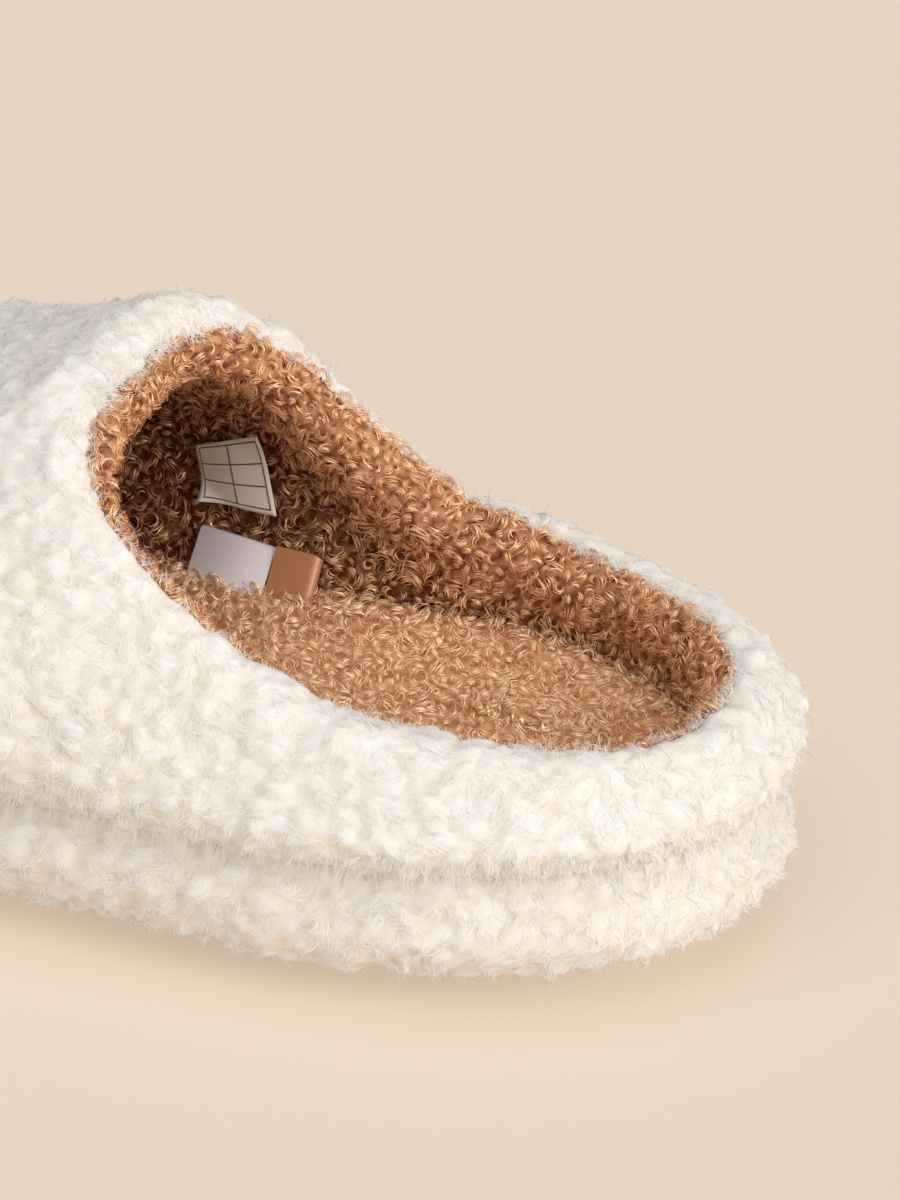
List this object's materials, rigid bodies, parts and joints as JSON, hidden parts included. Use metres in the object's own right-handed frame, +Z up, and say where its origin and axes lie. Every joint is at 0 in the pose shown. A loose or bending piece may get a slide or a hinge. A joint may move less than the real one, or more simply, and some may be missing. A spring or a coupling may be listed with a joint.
{
  "type": "house slipper",
  "caption": "Left-foot house slipper: closed toe, low padded heel wall, thick fleece upper with a rolled lining rim, platform sole and pile insole.",
  "frame": {"origin": "on the floor, under the middle of the slipper's box", "axes": "+X to the toe, +Y to the wearer's left, +Z up"},
  "size_m": [0.2812, 0.1168, 0.0897],
  "materials": {
    "sole_fleece": "cream teddy fleece wrapped round a foam platform",
    "upper_fleece": "off-white teddy fleece in soft clumps",
    "lining_pile": "warm brown curly pile with a silky gloss",
    "insole_pile": "warm brown curly pile, trodden flatter",
    "gold_thread": "gold stitching thread",
    "label_film": "matt white film label, blank but for a plain grid",
    "white_satin": "white satin ribbon",
    "bronze_satin": "bronze satin ribbon"
  },
  "bodies": {
    "root": {"sole": "sole_fleece", "upper": "upper_fleece", "insole": "insole_pile", "wall_label": "label_film", "satin_tag": "white_satin", "satin_loop": "bronze_satin"}
  },
  "joints": []
}
